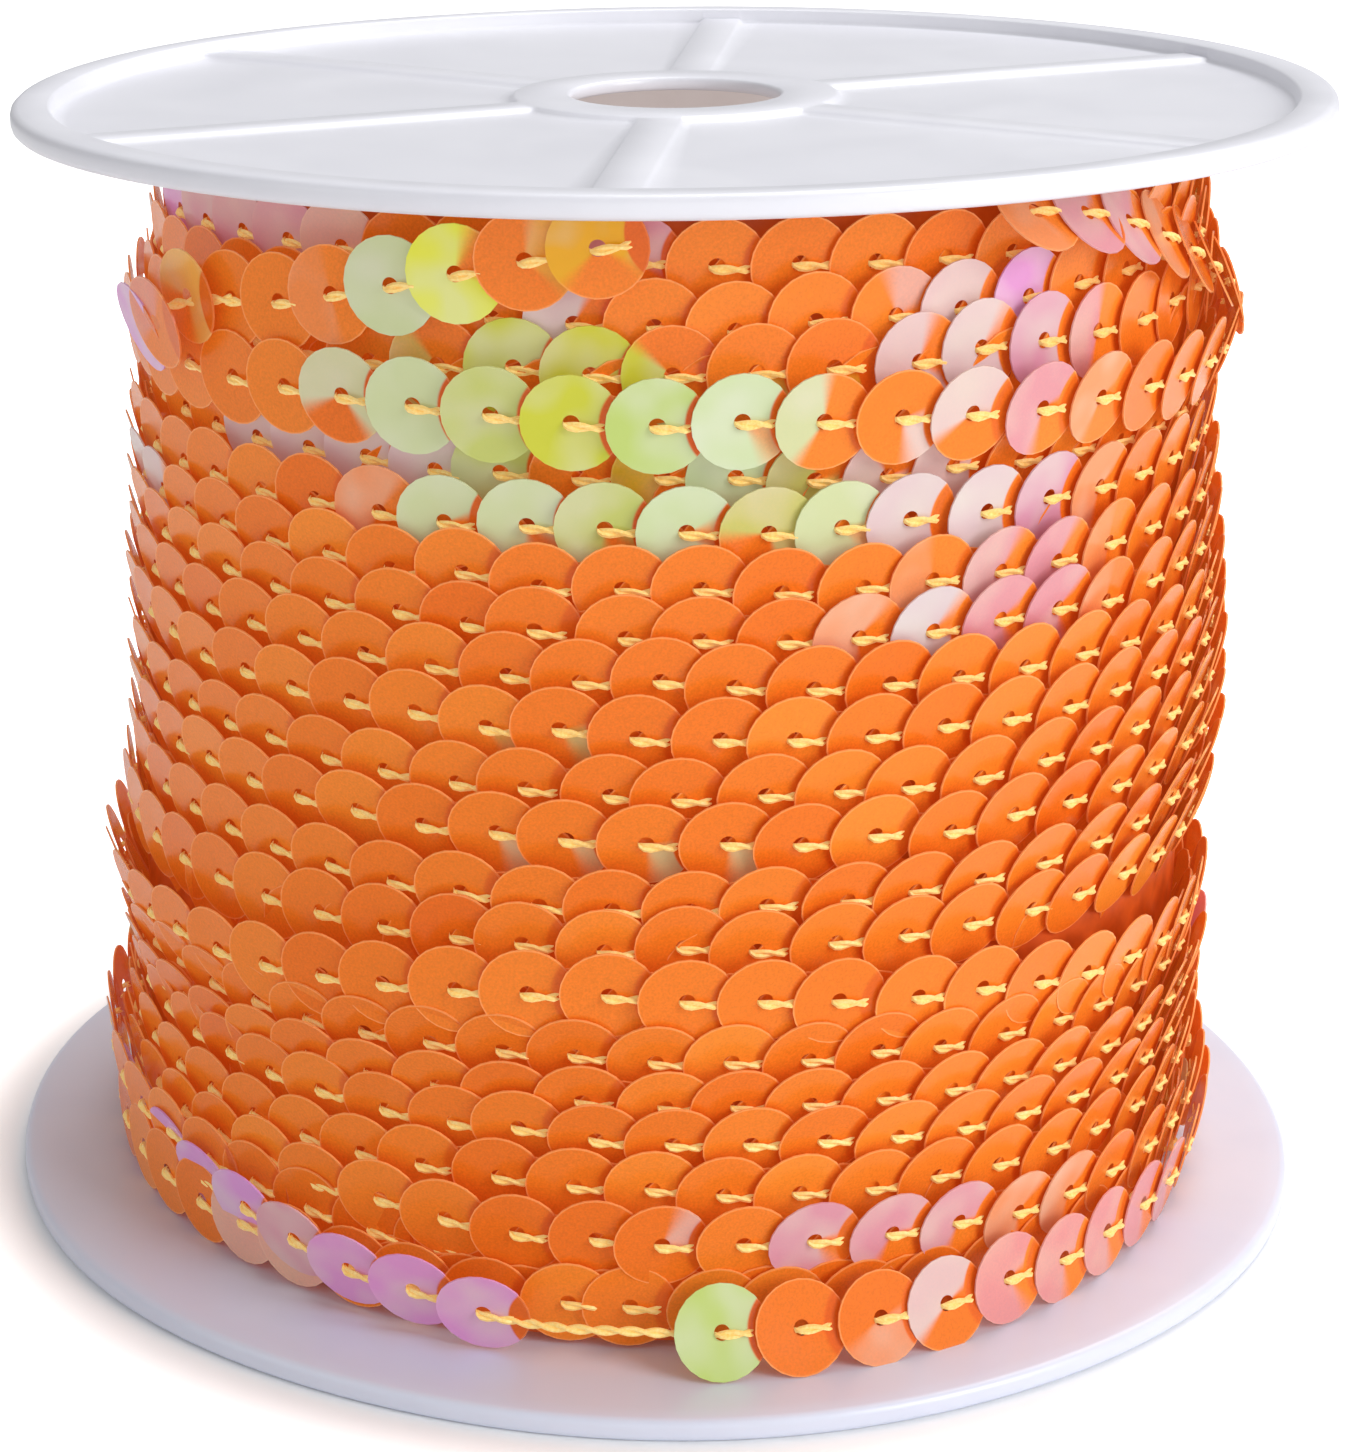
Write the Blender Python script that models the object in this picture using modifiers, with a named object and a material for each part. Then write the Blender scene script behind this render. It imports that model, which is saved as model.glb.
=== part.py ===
"""Sequin trim wound on a plain white plastic spool, in metres, +Z up.

The spool is two ribbed flanges on a hollow barrel, standing on its lower flange. The wound
trim is one solid: each turn is a ridge whose upper edge stands proud, because every turn of
sequins covers the lower edge of the turn above it. The cut end of the trim is a short strip
that lies on the upper turns. The upper flange sits a little out of square, as moulded spools
of this kind often do once they are full.
"""
import math

import bmesh
import bpy
import numpy as np
from mathutils import Matrix

# Spool sizes
SPOOL_HEIGHT = 0.0750
LOWER_RADIUS = 0.0450
UPPER_RADIUS = 0.0435
UPPER_LEAN = 0.027
FLANGE_THICKNESS = 0.0015
WEB_THICKNESS = 0.0005
HUB_THICKNESS = 0.0009
RIM_WIDTH = 0.0026
EDGE_ROUND = 0.0005
BORE_RADIUS = 0.0070
HUB_RADIUS = 0.0109
RIB_WIDTH = 0.0028
RIB_COUNT = 6
FIRST_RIB_DEGREES = 25.0
RIB_DROP = 0.0001
BARREL_RADIUS = 0.0210
BARREL_WALL = 0.0016

# Trim sizes
SEQUIN_DIAMETER = 0.0060
SEQUIN_LIFT = 0.0007
TURN_STEP = 0.00015
WANDER = 0.0004
WANDER_PITCH = 0.010
END_THICKNESS = 0.0007
END_CLEARANCE = 0.00045

# Every pair of neighbouring pieces keeps this gap
GAP = 0.0003

# Segments round each turned piece
FLANGE_STEPS = 60
BARREL_STEPS = 48

# One row a turn, in mm: height of the sequins' holes, winding radius at the left and the right
TURNS = (
    (69.8, 35.0, 35.6),
    (66.6, 35.0, 36.3),
    (63.9, 35.4, 37.1),
    (60.8, 36.1, 37.5),
    (57.5, 36.2, 36.9),
    (54.6, 36.5, 37.0),
    (51.2, 36.6, 37.4),
    (48.2, 36.6, 37.7),
    (45.1, 36.7, 38.0),
    (42.0, 36.8, 38.2),
    (38.5, 36.8, 38.5),
    (35.4, 36.9, 38.5),
    (31.6, 37.0, 38.3),
    (28.7, 37.4, 38.0),
    (25.5, 38.3, 37.9),
    (21.8, 38.2, 38.0),
    (18.8, 37.7, 38.2),
    (16.2, 37.3, 38.3),
    (13.1, 37.6, 37.9),
    (9.9, 38.0, 38.4),
    (6.9, 38.0, 38.5),
    (4.2, 37.6, 38.8),
)

# Path of the cut end: angle in degrees from +X, height in mm
END_PATH = (
    (-150.0, 64.3),
    (-134.0, 65.6),
    (-115.0, 67.2),
    (-99.0, 69.0),
)
END_SEGMENTS = 14

turn_heights = np.array([row[0] for row in TURNS]) / 1000
left_radii = np.array([row[1] for row in TURNS]) / 1000
right_radii = np.array([row[2] for row in TURNS]) / 1000
mean_radii = (left_radii + right_radii) / 2
crest_heights = turn_heights + SEQUIN_DIAMETER / 2 - TURN_STEP


def clear_scene():
    """Remove every object that the scene starts with."""
    for obj in list(bpy.data.objects):
        bpy.data.objects.remove(obj, do_unlink=True)


def make_material(name, colour, roughness, metallic=0.0):
    """A plain Principled material."""
    material = bpy.data.materials.new(name)
    material.use_nodes = True
    shader = material.node_tree.nodes["Principled BSDF"]
    shader.inputs["Base Color"].default_value = (*colour, 1.0)
    shader.inputs["Roughness"].default_value = roughness
    shader.inputs["Metallic"].default_value = metallic
    return material


def add_object(name, mesh, collection, material=None):
    """Link a mesh as an object of a collection and shade its round sides smooth."""
    obj = bpy.data.objects.new(name, mesh)
    collection.objects.link(obj)
    if material:
        mesh.materials.clear()
        mesh.materials.append(material)
    mesh.shade_smooth()
    mesh.set_sharp_from_angle(angle=math.radians(30))
    return obj


def evaluated_mesh(obj):
    """The object's mesh with its modifiers applied."""
    depsgraph = bpy.context.evaluated_depsgraph_get()
    return bpy.data.meshes.new_from_object(obj.evaluated_get(depsgraph))


def turned_mesh(name, profile, steps, collection):
    """Turn a closed profile of (radius, height) points about Z, and return the solid's mesh."""
    outline = bpy.data.meshes.new(name + "_profile")
    edges = [(i, (i + 1) % len(profile)) for i in range(len(profile))]
    outline.from_pydata([(r, 0.0, z) for r, z in profile], edges, [])
    guide = bpy.data.objects.new(name + "_profile", outline)
    collection.objects.link(guide)
    screw = guide.modifiers.new("Turn", "SCREW")
    screw.steps = steps
    screw.render_steps = steps
    screw.use_merge_vertices = True
    screw.merge_threshold = 0.00001
    mesh = evaluated_mesh(guide)
    mesh.name = name
    bpy.data.objects.remove(guide, do_unlink=True)
    return mesh


def flange_profile(radius):
    """A flange's section, inner face at height 0 and its recessed side upward."""
    corner = EDGE_ROUND * (1 - math.sqrt(0.5))
    rim = [
        (radius - RIM_WIDTH, FLANGE_THICKNESS),
        (radius - EDGE_ROUND, FLANGE_THICKNESS),
        (radius - corner, FLANGE_THICKNESS - corner),
        (radius, FLANGE_THICKNESS - EDGE_ROUND),
        (radius, EDGE_ROUND),
        (radius - corner, corner),
        (radius - EDGE_ROUND, 0.0),
    ]
    hub = [
        (BORE_RADIUS, 0.0),
        (BORE_RADIUS, HUB_THICKNESS),
        (HUB_RADIUS, HUB_THICKNESS),
        (HUB_RADIUS, WEB_THICKNESS),
    ]
    return rim + hub + [(radius - RIM_WIDTH, WEB_THICKNESS)]


def rib_mesh(name, radius):
    """The ribs from hub to rim, as boxes that reach into both."""
    length = radius - RIM_WIDTH / 2 - (BORE_RADIUS + HUB_RADIUS) / 2
    middle = (BORE_RADIUS + HUB_RADIUS) / 2 + length / 2
    low = WEB_THICKNESS / 2
    high = HUB_THICKNESS - RIB_DROP
    bm = bmesh.new()
    for k in range(RIB_COUNT):
        turn = math.radians(FIRST_RIB_DEGREES + 360 * k / RIB_COUNT)
        place = (
            Matrix.Rotation(turn, 4, "Z")
            @ Matrix.Translation((middle, 0, (low + high) / 2))
            @ Matrix.Diagonal((length, RIB_WIDTH, high - low, 1.0))
        )
        bmesh.ops.create_cube(bm, size=1.0, matrix=place)
    mesh = bpy.data.meshes.new(name)
    bm.to_mesh(mesh)
    bm.free()
    return mesh


def add_flange(name, radius, parts, cutters, material):
    """A flange: a turned dish with its six ribs joined on."""
    dish = turned_mesh(name, flange_profile(radius), FLANGE_STEPS, cutters)
    flange = add_object(name, dish, parts, material)
    ribs = add_object(name + "_ribs", rib_mesh(name + "_ribs", radius), cutters)
    ribs.parent = flange
    ribs.hide_render = True
    ribs.display_type = "WIRE"
    join = flange.modifiers.new("Ribs", "BOOLEAN")
    join.operation = "UNION"
    join.solver = "EXACT"
    join.object = ribs
    return flange


def leaned(x, z):
    """Height after the lean that grows from nothing at the floor to the upper flange's."""
    return z + UPPER_LEAN * x * z / SPOOL_HEIGHT


def ring_profile(inner, outer, low, high):
    """A plain ring's section, outer side first and downward."""
    return [(outer, high), (outer, low), (inner, low), (inner, high)]


def winding_profile(low, high):
    """The wound trim's section: one proud edge and one recess for each turn."""
    feet = [*(crest_heights[1:] + TURN_STEP), low]
    points = [(mean_radii[0] - SEQUIN_LIFT, high)]
    for radius, crest, foot in zip(mean_radii, crest_heights, feet):
        points += [(radius, crest), (radius - SEQUIN_LIFT, foot)]
    inner = BARREL_RADIUS + GAP
    return points + [(inner, low), (inner, high)]


def side_swell(angle, height):
    """How far the winding at this angle and height lies outside its mean radius."""
    difference = np.interp(-height, -crest_heights, right_radii - left_radii)
    return float(difference) / 2 * math.cos(angle)


def crest_radius(angle, height):
    """Radius of the winding's proud edges at this angle and height."""
    mean = np.interp(-height, -crest_heights, mean_radii)
    return float(mean) + side_swell(angle, height)


def shape_winding(mesh, low, high):
    """Swell the turned winding to one side, let its turns wander and lean it with the flange."""
    halfway = (BARREL_RADIUS + min(left_radii)) / 2
    for vertex in mesh.vertices:
        x, y, z = vertex.co
        radius = math.hypot(x, y)
        angle = math.atan2(y, x)
        if radius > halfway:
            radius += side_swell(angle, z)
            inside = math.sin(math.pi * (z - low) / (high - low))
            z += WANDER * inside * math.sin(2 * angle + z / WANDER_PITCH)
        x = radius * math.cos(angle)
        y = radius * math.sin(angle)
        vertex.co = (x, y, leaned(x, z))


def end_point(along, across):
    """A point on the inner side of the cut end's strip, across from -1 to 1."""
    stations = np.linspace(0.0, 1.0, len(END_PATH))
    angle = math.radians(float(np.interp(along, stations, [p[0] for p in END_PATH])))
    middle = float(np.interp(along, stations, [p[1] for p in END_PATH])) / 1000
    z = middle + across * SEQUIN_DIAMETER / 2
    radius = crest_radius(angle, middle - SEQUIN_DIAMETER / 2) + END_CLEARANCE
    x = radius * math.cos(angle)
    return x, radius * math.sin(angle), leaned(x, z)


def add_trim_end(name, collection, material):
    """The trim's cut end: a grid bent along its path and thickened outward."""
    bm = bmesh.new()
    bmesh.ops.create_grid(bm, x_segments=END_SEGMENTS, y_segments=1, size=1.0)
    for vertex in bm.verts:
        vertex.co = end_point((vertex.co.x + 1) / 2, vertex.co.y)
    mesh = bpy.data.meshes.new(name)
    bm.to_mesh(mesh)
    bm.free()
    strip = add_object(name, mesh, collection, material)
    thicken = strip.modifiers.new("Thickness", "SOLIDIFY")
    thicken.thickness = END_THICKNESS
    thicken.offset = 1.0
    return strip


def main():
    clear_scene()
    parts = bpy.data.collections.new("sequin_trim_on_spool")
    cutters = bpy.data.collections.new("cutters")
    bpy.context.scene.collection.children.link(parts)
    bpy.context.scene.collection.children.link(cutters)
    plastic = make_material("white_polystyrene", (0.86, 0.86, 0.87), 0.32)
    sequins = make_material("orange_sequin_film", (0.83, 0.19, 0.03), 0.28)

    lower = add_flange("lower_flange", LOWER_RADIUS, parts, cutters, plastic)
    lower.location.z = FLANGE_THICKNESS
    lower.rotation_euler.x = math.pi
    upper = add_flange("upper_flange", UPPER_RADIUS, parts, cutters, plastic)
    upper.location.z = SPOOL_HEIGHT - FLANGE_THICKNESS
    upper.rotation_euler.y = -math.atan(UPPER_LEAN)

    low = FLANGE_THICKNESS + GAP
    high = SPOOL_HEIGHT - FLANGE_THICKNESS - GAP
    tube = ring_profile(BARREL_RADIUS - BARREL_WALL, BARREL_RADIUS, low, high)
    barrel = turned_mesh("barrel", tube, BARREL_STEPS, cutters)
    for vertex in barrel.vertices:
        vertex.co.z = leaned(vertex.co.x, vertex.co.z)
    add_object("barrel", barrel, parts, plastic)

    winding = turned_mesh("wound_trim", winding_profile(low, high), BARREL_STEPS, cutters)
    shape_winding(winding, low, high)
    add_object("wound_trim", winding, parts, sequins)
    add_trim_end("trim_end", parts, sequins)


main()
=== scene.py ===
# %% [markdown]
# # Sequin trim wound on a spool
#
# The object is a roll of flat sequins, threaded edge over edge and wound round a white moulded
# spool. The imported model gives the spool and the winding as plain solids. This script dresses
# them: it lays every sequin of the outer turns on the winding, ties each to the next with a
# two-ply stitch, and gives the spool its moulded rims and ribs.

# %% Load the frame
import math

import bpy
import numpy as np
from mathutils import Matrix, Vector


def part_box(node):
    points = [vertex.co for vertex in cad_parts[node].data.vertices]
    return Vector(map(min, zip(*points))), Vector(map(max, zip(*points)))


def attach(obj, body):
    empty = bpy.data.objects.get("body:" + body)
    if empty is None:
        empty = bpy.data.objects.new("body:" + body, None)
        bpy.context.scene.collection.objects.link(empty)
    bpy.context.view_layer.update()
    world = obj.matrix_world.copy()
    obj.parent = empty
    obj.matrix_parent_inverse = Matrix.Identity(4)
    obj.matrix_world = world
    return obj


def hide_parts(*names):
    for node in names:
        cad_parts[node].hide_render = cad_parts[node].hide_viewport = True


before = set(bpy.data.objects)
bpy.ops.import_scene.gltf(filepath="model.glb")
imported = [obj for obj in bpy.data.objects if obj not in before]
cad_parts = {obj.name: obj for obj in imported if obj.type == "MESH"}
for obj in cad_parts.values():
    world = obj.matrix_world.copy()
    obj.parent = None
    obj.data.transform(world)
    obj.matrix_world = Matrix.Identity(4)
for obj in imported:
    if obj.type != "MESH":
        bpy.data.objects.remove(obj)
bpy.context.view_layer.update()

MM = 0.001
print("nodes:", sorted(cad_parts))

# %% [markdown]
# ## Two helpers for meshes
#
# A surface here is a grid of points: rows run along one parameter and columns along the other.
# A grid can close on itself either way, which makes tubes and rings. Small things such as
# sequins could be separate objects, but over a thousand objects are slow to handle, so their
# points are joined into one mesh: each copy is the template's points carried by its own axes.

# %% Surfaces from whole arrays
def grid_faces(rows, columns, close_rows=False, close_columns=False):
    """Quads between neighbouring grid points, facing the way that rows cross columns points."""
    r, c = np.meshgrid(
        np.arange(rows if close_rows else rows - 1),
        np.arange(columns if close_columns else columns - 1),
        indexing="ij",
    )
    below, beside = (r + 1) % rows, (c + 1) % columns
    corners = [r * columns + c, below * columns + c, below * columns + beside, r * columns + beside]
    return np.stack(corners, axis=-1).reshape(-1, 4)


def add_piece(name, points, faces, material, sharp_degrees=40.0, attributes=None):
    """A mesh object at the origin from points (n, 3) and quads (m, 4), ridden on the one body."""
    mesh = bpy.data.meshes.new(name)
    mesh.vertices.add(len(points))
    mesh.vertices.foreach_set("co", np.asarray(points, dtype=np.float32).ravel())
    mesh.loops.add(faces.size)
    mesh.loops.foreach_set("vertex_index", faces.astype(np.int32).ravel())
    mesh.polygons.add(len(faces))
    mesh.polygons.foreach_set("loop_start", np.arange(0, faces.size, 4, dtype=np.int32))
    for label, (kind, values) in (attributes or {}).items():
        layer = mesh.attributes.new(label, kind, "POINT")
        field = {"FLOAT": "value", "FLOAT_VECTOR": "vector", "FLOAT_COLOR": "color"}[kind]
        layer.data.foreach_set(field, np.asarray(values, dtype=np.float32).ravel())
    mesh.update(calc_edges=True)
    mesh.validate()
    mesh.shade_smooth()
    mesh.set_sharp_from_angle(angle=math.radians(sharp_degrees))
    mesh.materials.append(material)
    piece = bpy.data.objects.new(name, mesh)
    bpy.context.scene.collection.objects.link(piece)
    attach(piece, "root")
    print(f"{name}: {2 * len(faces)} triangles")
    return piece


def carry_copies(template, centres, axes):
    """Each copy's point is its centre plus the template's point measured along the copy's axes."""
    return (np.einsum("vk,nkj->nvj", template, axes) + centres[:, None, :]).reshape(-1, 3)


def copy_faces(faces, template_size, count):
    """The template's quads once for each copy."""
    return (faces[None] + (np.arange(count) * template_size)[:, None, None]).reshape(-1, 4)


# %% [markdown]
# ## Materials
#
# A colour is written as the sRGB hex value that the eye sees, and one function turns it to the
# linear light that the shader works in. One more function adds a node with its settings, and
# the small ones after it each name a kind of node that is used often.

# %% Colour and node helpers
def linear(hex_code):
    """sRGB hex to linear RGBA: a short straight start, then a power of 2.4."""
    value = np.array([int(hex_code[i:i + 2], 16) for i in (1, 3, 5)]) / 255
    light = np.where(value <= 0.04045, value / 12.92, ((value + 0.055) / 1.055) ** 2.4)
    return (*light.tolist(), 1.0)


def fill(tree, node, values=None, links=None):
    """Give a node's sockets their values and the links that feed them."""
    for name, value in (values or {}).items():
        node.inputs[name].default_value = value
    for name, source in (links or {}).items():
        tree.links.new(source, node.inputs[name])
    return node


def add_node(tree, kind, settings=None, values=None, links=None):
    """Add one node: its own settings, the values of its sockets, and the links that feed it."""
    made = tree.nodes.new(kind)
    for name, value in (settings or {}).items():
        setattr(made, name, value)
    return fill(tree, made, values, links)


def add_noise(tree, place, size, detail, **more):
    """A noise value in the object's own space, with features of about the given size."""
    return add_node(
        tree, "ShaderNodeTexNoise", None, {"Scale": 1.0 / size, "Detail": detail, **more},
        {"Vector": place.outputs["Object"]},
    ).outputs["Fac"]


def add_range(tree, source, start, end, low, high, kind="SMOOTHSTEP"):
    """The source's value, carried from the range start...end to the range low...high."""
    return add_node(
        tree, "ShaderNodeMapRange", {"interpolation_type": kind},
        {"From Min": start, "From Max": end, "To Min": low, "To Max": high}, {"Value": source},
    ).outputs["Result"]


def add_blend(tree, share, first, second):
    """A colour between two, by a share. Each colour is a hex code or a socket that gives it."""
    colours = {6: first, 7: second}
    values = {n: linear(c) for n, c in colours.items() if isinstance(c, str)}
    links = {n: c for n, c in colours.items() if not isinstance(c, str)}
    made = add_node(tree, "ShaderNodeMix", {"data_type": "RGBA"}, values, {0: share, **links})
    return made.outputs[2]


def add_math(tree, operation, first, second):
    """One number from two."""
    return add_node(
        tree, "ShaderNodeMath", {"operation": operation}, None, {0: first, 1: second},
    ).outputs["Value"]


def add_vector_math(tree, operation, links, values=None):
    """A vector operation, whose outputs are named Vector and Value."""
    return add_node(tree, "ShaderNodeVectorMath", {"operation": operation}, values, links).outputs


def new_material(name):
    """An empty node material with its Principled shader, for the caller to fill."""
    material = bpy.data.materials.new(name)
    material.use_nodes = True
    print("material:", name)
    return material, material.node_tree, material.node_tree.nodes["Principled BSDF"]


print("middle grey in linear light:", round(linear("#808080")[0], 3))

# %% [markdown]
# ### The sequins' film
#
# Sequins like these are punched from polyester film that is dyed orange and then coated in a
# vacuum with a clear layer a few hundred nanometres thick. Light that bounces off the two faces
# of that layer adds up at some wavelengths and cancels at others, so a lamp's reflection looks
# green where it is seen straight on and moves through pale blue to lilac towards the edge of
# the roll. The Principled shader's thin film does exactly this, and stays faint here, because
# such a coat sends back only a few hundredths of the light.
#
# The lamps' flashes in the coat are painted into the film's colour. In short runs along some
# turns a sequin is painted green, white or lilac all over, a painted reflection, and because
# punching leaves each sequin a very flat cone, the flash ends along two radii, like a slice of a
# cake. Each sequin therefore carries four attributes: `flat` is the place on its face, `split`
# points to the middle of its slice, `dose` holds the depth of the dye, the strength of the painted
# flash and the width of the slice, and the fourth is the painted flash's colour. Beside its
# neighbour's raised edge a sequin mirrors that neighbour, so the painted flash is cut back there
# and it stays orange: a painted reflection of the neighbour.
# A thin pale rim is painted on, the highlight that the sequin's edge catches. The film also lets
# light through, so its shaded parts glow: in place of that light, a seventh of its colour is given
# off as a painted glow.

# %% Vacuum-coated polyester film
film, tree, shader = new_material("coated_polyester_film")
flat, split, dose = [
    add_node(tree, "ShaderNodeAttribute", {"attribute_name": name}).outputs["Vector"]
    for name in ("flat", "split", "dose")
]
painted_flash = add_node(tree, "ShaderNodeAttribute", {"attribute_name": "painted_flash"}).outputs["Color"]
place = add_node(tree, "ShaderNodeTexCoord")
cloud = add_noise(tree, place, 0.8 * MM, 3.0)
grain = add_noise(tree, place, 0.16 * MM, 1.0)
drift = add_noise(tree, place, 3.5 * MM, 1.0)

# `dose` holds the dye's depth, the painted flash's strength and the slice's reach, and the third
# number of `split` is how far the neighbour's painted reflection comes over the sequin
parts = add_node(tree, "ShaderNodeSeparateXYZ", None, None, {"Vector": dose})
bands = add_node(tree, "ShaderNodeSeparateXYZ", None, None, {"Vector": split})
dye_depth, strength, slice_reach = (parts.outputs[axis] for axis in "XYZ")

# How far a point lies from its sequin's middle and from the neighbour's, in sequin radii
NEIGHBOUR_CENTRE = (1.55, 0.0, 0.0)
reach_out = add_vector_math(tree, "LENGTH", {0: flat})["Value"]
neighbour = add_vector_math(tree, "DISTANCE", {0: flat}, {1: NEIGHBOUR_CENTRE})["Value"]

# The painted flash shows inside its slice, as far as the neighbour's painted reflection leaves it
# clear
radius_way = add_vector_math(tree, "NORMALIZE", {0: flat})["Vector"]
toward = add_vector_math(tree, "DOT_PRODUCT", {0: radius_way, 1: split})["Value"]
past = add_math(tree, "SUBTRACT", toward, slice_reach)
slice_edge = add_range(tree, past, -0.22, 0.22, 0.0, 1.0)
clear_of = add_math(tree, "SUBTRACT", neighbour, bands.outputs["Z"])
open_part = add_range(tree, clear_of, 0.99, 1.05, 0.0, 1.0)
slice_share = add_math(tree, "MULTIPLY", slice_edge, open_part)
amount = add_math(tree, "MULTIPLY", slice_share, strength)

# Dyed film, a little speckled, with a painted highlight at its rim and a painted shadow under the
# neighbour
dye = add_blend(tree, dye_depth, "#E26716", "#EF882C")
speck = add_range(tree, grain, 0.0, 1.0, 0.8, 1.16, "LINEAR")
speckled = add_vector_math(tree, "SCALE", {0: dye, "Scale": speck})["Vector"]
# A pale rim: painted highlight where the sequin's edge catches the light
painted_edge_highlight = add_range(tree, reach_out, 0.95, 0.99, 0.0, 0.45)
with_edge_highlight = add_blend(tree, painted_edge_highlight, speckled, "#FFB878")
# A darker red band beside the neighbour's edge: painted shadow
painted_contact_shadow = add_range(tree, neighbour, 1.0, 1.12, 0.45, 0.0)
shaded = add_blend(tree, painted_contact_shadow, with_edge_highlight, "#C83A0A")

# The painted flash's colour drifts towards a pearly white
pearl = add_range(tree, drift, 0.4, 0.7, 0.0, 0.4, "LINEAR")
painted_flash_pale = add_blend(tree, pearl, painted_flash, "#D6DACB")
# The dye with its painted highlight, painted shadow and painted flash
dye_and_painted_light = add_blend(tree, amount, shaded, painted_flash_pale)
wave = add_node(
    tree, "ShaderNodeBump", None, {"Strength": 0.25, "Distance": 0.03 * MM}, {"Height": cloud},
)
gloss = add_range(tree, cloud, 0.0, 1.0, 0.16, 0.3, "LINEAR")
# A seventh of the colour is given off: a painted glow in place of the light that passes through the
# film
fill(
    tree, shader,
    {
        "Emission Strength": 0.14, "IOR": 1.52, "Specular IOR Level": 0.2,
        "Thin Film Thickness": 400.0, "Thin Film IOR": 1.35,
    },
    {
        "Base Color": dye_and_painted_light, "Roughness": gloss, "Normal": wave.outputs["Normal"],
        "Emission Color": dye_and_painted_light,
    },
)

# %% [markdown]
# ### Thread, plastic and the turns underneath
#
# The thread is spun polyester, two plies twisted together, yellower and duller than the film.
# The spool is injection-moulded polystyrene: white, slightly blue, with the soft gloss and the
# faint unevenness that a mould leaves. The lower flange's plastic is a shaded copy, set a little
# darker and bluer: painted shade for the shadow of the roll and the upper flange, which also
# offsets the orange light that falls on it from the roll. The turns under the outer ones lie in
# each other's shade, so what shows of them through the gaps is a dull dark orange.
#
# The barrel's thin wall, the thread and the inner turns let light through. They give off a
# little of their own colour in its place, set to the photo.

# %% Spun thread
def glowing(name, size, detail, darker, lighter, emission, roughness, ior=1.5):
    """A material mottled between two colours, which also gives off a little of its colour."""
    made, tree, shader = new_material(name)
    place = add_node(tree, "ShaderNodeTexCoord")
    colour = add_blend(tree, add_noise(tree, place, size, detail), darker, lighter)
    fill(
        tree, shader, {"Emission Strength": emission, "Roughness": roughness, "IOR": ior},
        {"Base Color": colour, "Emission Color": colour},
    )
    return made


thread = glowing(
    "spun_polyester_thread", 0.18 * MM, 2.0, "#F7BE42", "#FFEBA6",
    emission=0.15, roughness=0.42, ior=1.54,
)

# %% Moulded polystyrene
POLYSTYRENE_IOR = 1.59


def moulded(name, darker, lighter):
    """The spool's plastic between two close whites: flow lines, sink marks and a fine peel."""
    made, tree, shader = new_material(name)
    place = add_node(tree, "ShaderNodeTexCoord")
    flow = add_noise(tree, place, 9 * MM, 4.0, Distortion=0.6)
    skin = add_noise(tree, place, 0.5 * MM, 2.0)
    white = add_blend(tree, flow, darker, lighter)
    sheen = add_range(tree, flow, 0.0, 1.0, 0.24, 0.4, "LINEAR")
    sink = add_node(
        tree, "ShaderNodeBump", None, {"Strength": 0.25, "Distance": 0.12 * MM}, {"Height": flow},
    )
    peel = add_node(
        tree, "ShaderNodeBump", None, {"Strength": 0.15, "Distance": 0.01 * MM},
        {"Height": skin, "Normal": sink.outputs["Normal"]},
    )
    fill(
        tree, shader, {"IOR": POLYSTYRENE_IOR},
        {"Base Color": white, "Roughness": sheen, "Normal": peel.outputs["Normal"]},
    )
    return made


plastic = moulded("moulded_polystyrene", "#E6E6EF", "#EFEFF6")
# A darker, bluer copy for the lower flange: painted shade, which also offsets the roll's orange
# light
shaded_plastic = moulded("moulded_polystyrene_shaded", "#D9DFF2", "#E2E7F6")

# %% Barrel and inner turns
inside = glowing(
    "translucent_polystyrene_wall", 6 * MM, 3.0, "#D9CFCB", "#EDE7E4",
    emission=0.22, roughness=0.4, ior=POLYSTYRENE_IOR,
)
shade = glowing(
    "shaded_inner_turns", 1.6 * MM, 3.0, "#963408", "#D25A14",
    emission=0.25, roughness=0.5,
)

# %% [markdown]
# ## Camera, floor and light
#
# The camera stands a quarter of a metre from the roll, a little above it. The floor is white
# and so is the backdrop. Around the spool the floor is also bright, as in the photo, but only
# for the camera, so that it throws no light on the roll. The lamps are soft boxes: a big one
# above and behind, a strong one at the right, a weak one at the left and a low card in front.

# %% Camera
PHOTO_WIDTH, PHOTO_HEIGHT = 1348, 1452
FOCAL_PIXELS = 3405.0
OPTICAL_CENTRE = (674.0, 560.0)
CAMERA_PLACE = np.array([-0.4, -226.2, 106.6]) * MM
pitch, yaw, roll = 0.278, 0.004, -0.020

ahead = np.array([
    math.sin(yaw) * math.cos(pitch), math.cos(yaw) * math.cos(pitch), -math.sin(pitch),
])
level = np.array([math.cos(yaw), -math.sin(yaw), 0.0])
down = np.cross(ahead, level)
right_axis = math.cos(roll) * level + math.sin(roll) * down
down_axis = math.cos(roll) * down - math.sin(roll) * level

camera_data = bpy.data.cameras.new("camera")
camera_data.sensor_width = 36.0
camera_data.lens = FOCAL_PIXELS * camera_data.sensor_width / PHOTO_HEIGHT
camera_data.shift_x = (PHOTO_WIDTH / 2 - OPTICAL_CENTRE[0]) / PHOTO_HEIGHT
camera_data.shift_y = (OPTICAL_CENTRE[1] - PHOTO_HEIGHT / 2) / PHOTO_HEIGHT
camera_data.clip_start = 0.01
camera = bpy.data.objects.new("camera", camera_data)
bpy.context.scene.collection.objects.link(camera)
pose = np.eye(4)
pose[:3, :3] = np.stack([right_axis, -down_axis, -ahead], axis=1)
pose[:3, 3] = CAMERA_PLACE
camera.matrix_world = pose.T.tolist()
bpy.context.scene.camera = camera
print(f"lens {camera_data.lens:.1f} mm, {math.degrees(pitch):.1f} degrees down")

# %% Floor and world
GLOW_FROM, GLOW_TO = 44 * MM, 52 * MM
WHITE = (1, 1, 1, 1)
BACKDROP_STRENGTH, AMBIENT_STRENGTH = 1.0, 0.36

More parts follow.
